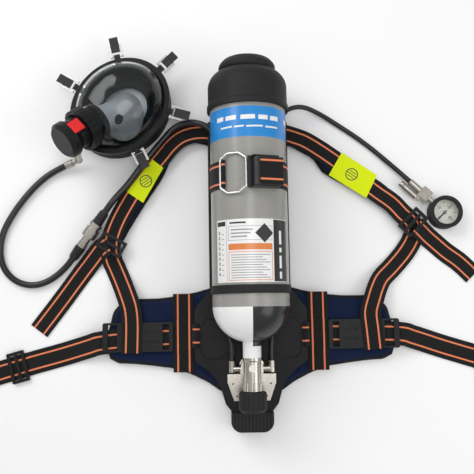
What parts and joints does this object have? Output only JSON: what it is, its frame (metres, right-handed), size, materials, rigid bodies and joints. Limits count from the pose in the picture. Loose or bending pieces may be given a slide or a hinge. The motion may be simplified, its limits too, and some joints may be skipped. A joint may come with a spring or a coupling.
{
  "type": "self-contained breathing apparatus",
  "caption": "Firefighter's breathing apparatus laid on its back: grey air cylinder strapped to a backplate, padded harness, full-face mask, demand valve, hoses and pressure gauge",
  "frame": {"origin": "centre of the back face of the waist pad, below the cylinder's neck", "axes": "+Z away from the wearer's back, +Y from the cylinder valve to the boot, +X across the harness"},
  "size_m": [1.066, 0.7663, 0.1985],
  "materials": {
    "backplate_plastic": "moulded blue-black plastic, fine grain",
    "black_plastic": "moulded black plastic, satin",
    "black_rubber": "dark rubber, matt",
    "hose_rubber": "black hose rubber, semi-gloss",
    "navy_pad": "navy padded fabric with black binding",
    "webbing": "black webbing with two orange stripes",
    "hi_vis_patch": "fluorescent yellow-green fabric patch",
    "grey_paint": "grey gloss paint on steel",
    "nickel": "nickel-plated brass",
    "brass_inner": "turned brass, hidden inside",
    "black_steel": "black coated steel",
    "buckle_steel": "plated steel frame with black rubber strap end",
    "red_button": "red moulded plastic",
    "visor_clear": "clear polycarbonate visor",
    "grey_silicone": "grey silicone",
    "dial_face": "printed dial, off-white",
    "needle_black": "black painted needle",
    "gauge_glass": "clear gauge window"
  },
  "bodies": {
    "root": {"backplate": "backplate_plastic", "belt_buckle_body": "black_plastic", "belt_buckle_tongue": "black_plastic", "bottom_bumper": "black_rubber", "bracket_plate": "nickel", "bracket_screws": "nickel", "burst_disc_plug": "nickel", "cam_buckle_base": "black_steel", "chest_patches": "hi_vis_patch", "coupling_plug": "nickel", "coupling_socket": "nickel", "cylinder_band": "black_rubber", "cylinder_boot": "black_rubber", "cylinder_shell": "grey_paint", "cylinder_strap": "webbing", "demand_valve": "black_plastic", "gauge_block": "nickel", "gauge_hose": "hose_rubber", "gland_nut": "nickel", "hose_boots": "hose_rubber", "hose_elbow": "nickel", "inner_mask": "grey_silicone", "lp_hose_free": "hose_rubber", "lp_hose_held": "hose_rubber", "lumbar_pad": "navy_pad", "mask_frame": "black_plastic", "mask_skirt": "black_rubber", "mask_visor": "visor_clear", "pad_straps": "webbing", "reducer_body": "nickel", "reducer_fittings": "nickel", "shoulder_pad_left": "navy_pad", "shoulder_pad_right": "navy_pad", "shoulder_strap_left": "webbing", "shoulder_strap_right": "webbing", "strap_link": "nickel", "strap_sliders": "black_plastic", "valve_body": "nickel", "waist_belt_left": "webbing", "waist_belt_right": "webbing", "waist_plates": "black_plastic"},
    "handwheel_body": {"handwheel": "black_rubber", "valve_spindle": "nickel"},
    "valve_plug_body": {"valve_plug": "brass_inner"},
    "cam_lever_body": {"cam_buckle_lever": "black_steel"},
    "gauge_body": {"gauge_case": "nickel", "gauge_cover": "black_rubber", "gauge_dial": "dial_face", "gauge_lens": "gauge_glass"},
    "needle_body": {"gauge_needle": "needle_black"},
    "sleeve_body": {"coupling_sleeve": "nickel"},
    "reset_button_body": {"reset_button": "red_button"},
    "port_ring_body": {"port_ring": "black_plastic"},
    "piston_body": {"reducer_piston": "brass_inner"},
    "belt_button_body": {"belt_buckle_button": "red_button"},
    "mask_buckle_1_body": {"mask_buckle_1": "buckle_steel"},
    "mask_buckle_2_body": {"mask_buckle_2": "buckle_steel"},
    "mask_buckle_3_body": {"mask_buckle_3": "buckle_steel"},
    "mask_buckle_4_body": {"mask_buckle_4": "buckle_steel"},
    "mask_buckle_5_body": {"mask_buckle_5": "buckle_steel"}
  },
  "joints": [
    {"name": "handwheel_turn", "type": "hinge", "parent": "root", "child": "handwheel_body", "pos_m": [0, -0.105, 0.108], "axis": [0, -1, 0], "range_deg": [0, 720]},
    {"name": "valve_plug_lift", "type": "slide", "parent": "root", "child": "valve_plug_body", "axis": [0, -1, 0], "range_m": [0, 0.003]},
    {"name": "cam_lever_open", "type": "hinge", "parent": "root", "child": "cam_lever_body", "pos_m": [0.01287, 0.297, 0.19015], "axis": [0, -1, 0], "range_deg": [0, 105]},
    {"name": "gauge_swivel", "type": "hinge", "parent": "root", "child": "gauge_body", "pos_m": [0.348, 0.28, 0.013], "axis": [0.721, -0.6929, 0], "range_deg": [-170, 170]},
    {"name": "needle_sweep", "type": "hinge", "parent": "gauge_body", "child": "needle_body", "pos_m": [0.3865, 0.243, 0.012], "axis": [0, 0, -1], "range_deg": [0, 270]},
    {"name": "sleeve_release", "type": "slide", "parent": "root", "child": "sleeve_body", "axis": [0.59, 0.7982, 0.1215], "range_m": [0, 0.005], "stiffness_N_per_m": 1500, "springref_m": -0.002},
    {"name": "reset_press", "type": "slide", "parent": "root", "child": "reset_button_body", "axis": [-0.3433, -0.3202, -0.8829], "range_m": [0, 0.003], "stiffness_N_per_m": 1200, "springref_m": -0.002},
    {"name": "port_ring_turn", "type": "hinge", "parent": "root", "child": "port_ring_body", "pos_m": [-0.29088, 0.41808, 0.082], "axis": [-0.6457, -0.6022, 0.4695], "range_deg": [0, 60]},
    {"name": "piston_stroke", "type": "slide", "parent": "root", "child": "piston_body", "axis": [0, 0, 1], "range_m": [0, 0.0015], "stiffness_N_per_m": 8000, "springref_m": -0.001},
    {"name": "belt_button_press", "type": "slide", "parent": "root", "child": "belt_button_body", "axis": [0, 0, -1], "range_m": [0, 0.003], "stiffness_N_per_m": 800, "springref_m": -0.002},
    {"name": "mask_buckle_1_swing", "type": "hinge", "parent": "root", "child": "mask_buckle_1_body", "pos_m": [-0.16582, 0.5347, 0.0485], "axis": [0.682, -0.7314, 0], "range_deg": [-20, 75]},
    {"name": "mask_buckle_2_swing", "type": "hinge", "parent": "root", "child": "mask_buckle_2_body", "pos_m": [-0.25336, 0.55939, 0.0485], "axis": [0.9781, 0.208, 0], "range_deg": [-20, 75]},
    {"name": "mask_buckle_3_swing", "type": "hinge", "parent": "root", "child": "mask_buckle_3_body", "pos_m": [-0.1473, 0.44566, 0.0485], "axis": [-0.2757, -0.9612, 0], "range_deg": [-4, 75]},
    {"name": "mask_buckle_4_swing", "type": "hinge", "parent": "root", "child": "mask_buckle_4_body", "pos_m": [-0.33525, 0.49911, 0.0485], "axis": [0.5014, 0.8652, 0], "range_deg": [-20, 75]},
    {"name": "mask_buckle_5_swing", "type": "hinge", "parent": "root", "child": "mask_buckle_5_body", "pos_m": [-0.21315, 0.36817, 0.0485], "axis": [-0.8981, -0.4399, 0], "range_deg": [-20, 75]}
  ],
  "couplings": [
    {"joint": "valve_plug_lift", "follows": "handwheel_turn", "m_per_rad": 0.000238}
  ]
}
